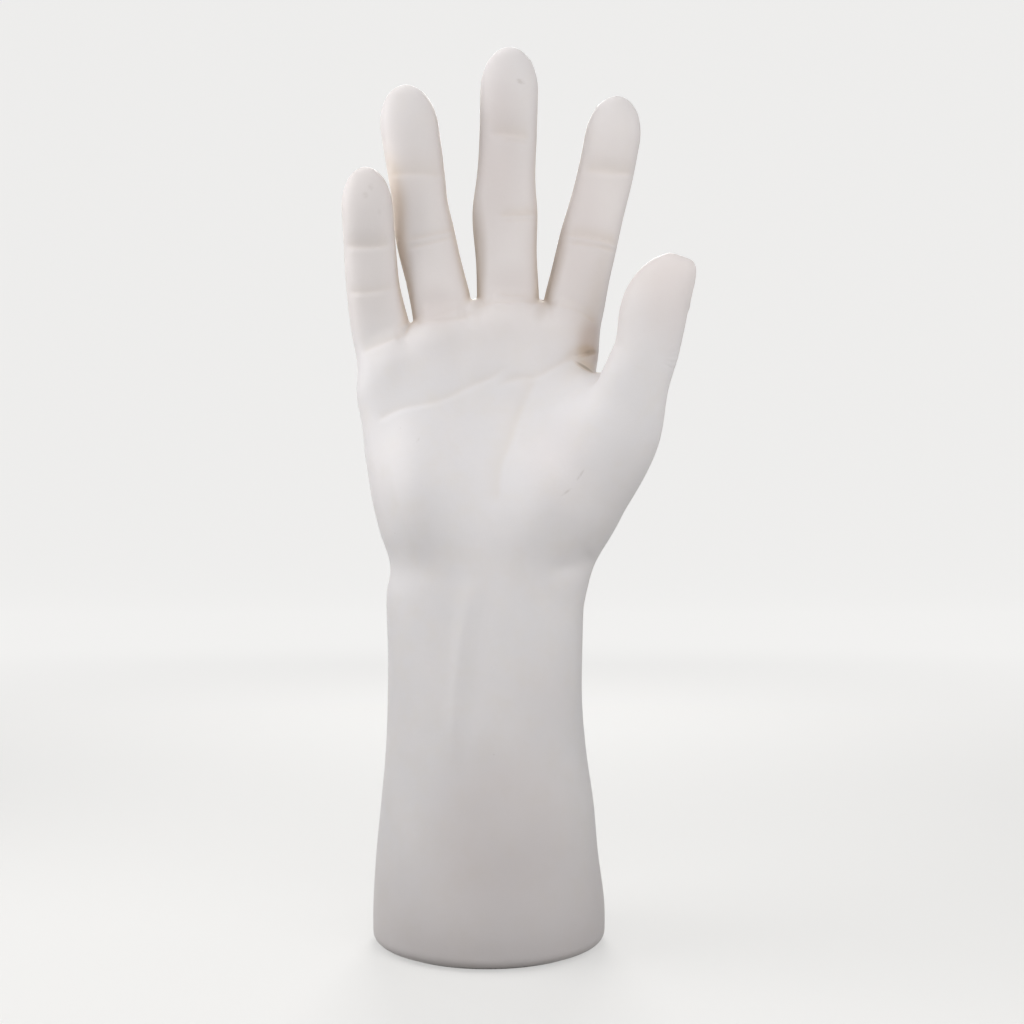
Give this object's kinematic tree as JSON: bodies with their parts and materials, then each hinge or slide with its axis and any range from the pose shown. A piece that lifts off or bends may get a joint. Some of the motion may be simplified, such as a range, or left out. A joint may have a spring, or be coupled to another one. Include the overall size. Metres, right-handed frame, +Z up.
{
  "type": "display mannequin hand",
  "caption": "Upright hollow vinyl right hand and forearm on a weighted flat base, open palm, for showing rings, watches, bracelets and gloves.",
  "frame": {"origin": "centre of the resting face on the underside of the foot pad", "axes": "+Z up along the forearm, -Y the way the palm faces, +X towards the thumb"},
  "size_m": [0.1247, 0.086, 0.3257],
  "materials": {
    "vinyl": "smooth satin off-white moulded vinyl",
    "plug_plastic": "moulded light grey plastic",
    "cast_iron": "rough as cast",
    "zinc_steel": "zinc plated",
    "pad_foam": "fine closed-cell foam sheet"
  },
  "bodies": {
    "root": {"hand_skin": "vinyl", "base_plug": "plug_plastic", "ballast_block": "cast_iron", "foot_pad": "pad_foam", "ballast_bolt_1": "zinc_steel", "ballast_bolt_2": "zinc_steel", "lip_screw_1": "zinc_steel", "lip_screw_2": "zinc_steel", "lip_screw_3": "zinc_steel", "lip_screw_4": "zinc_steel", "lip_screw_5": "zinc_steel", "lip_screw_6": "zinc_steel"}
  },
  "joints": []
}
